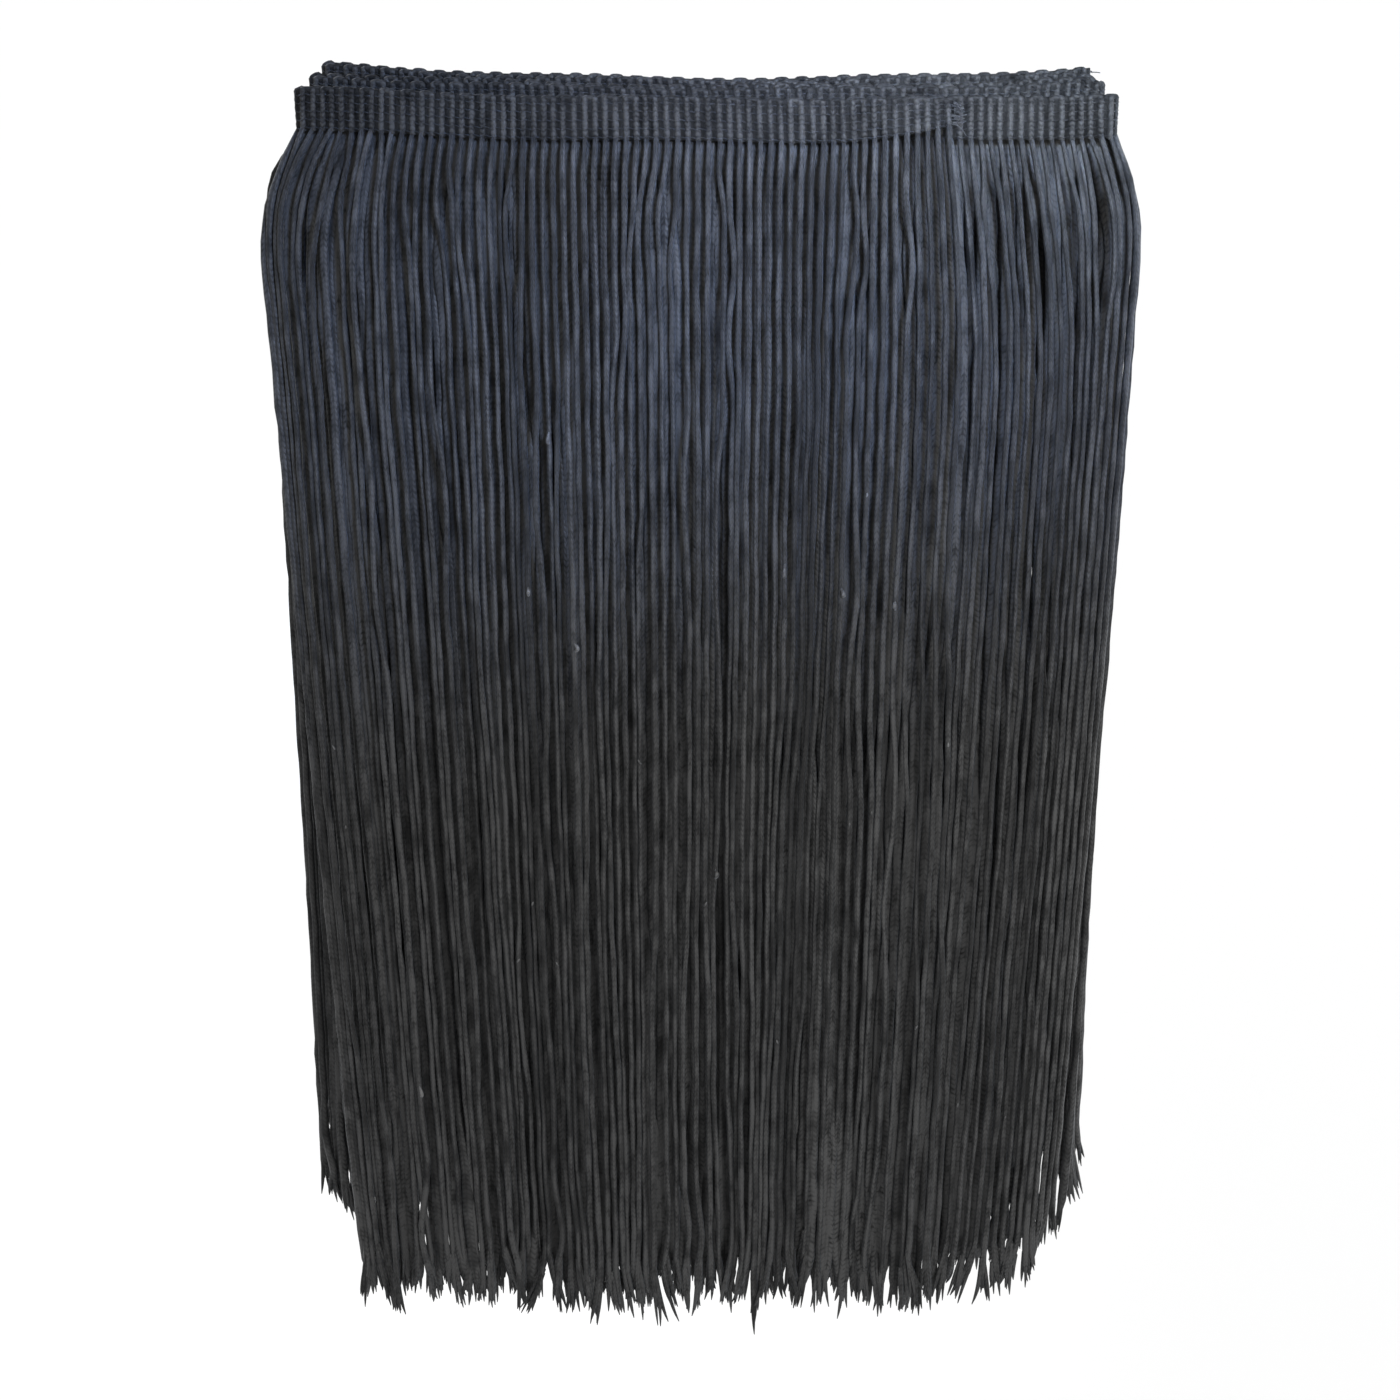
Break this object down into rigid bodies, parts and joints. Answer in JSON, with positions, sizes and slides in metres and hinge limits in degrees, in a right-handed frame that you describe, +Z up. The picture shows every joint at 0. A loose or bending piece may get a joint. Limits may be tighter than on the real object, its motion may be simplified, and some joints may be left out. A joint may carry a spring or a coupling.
{
  "type": "tassel fringe trim",
  "caption": "Chainette tassel fringe trim: a ribbed heading tape with a comb of long cut cords, folded back and forth and hung by its heading.",
  "frame": {"origin": "middle of the top edge of the rearmost pass of the heading tape, where the trim is held up", "axes": "+Z up along the hanging cords, +X across the folded width towards the viewer's right, -Y towards the viewer, on the side where the tape's loose end lies"},
  "size_m": [0.205, 0.0617, 0.3149],
  "materials": {
    "heading": "matt ribbed black braid",
    "fringe": "soft black chainette cord with a faint blue sheen"
  },
  "bodies": {
    "root": {"heading": "heading", "fringe": "fringe"}
  },
  "joints": []
}
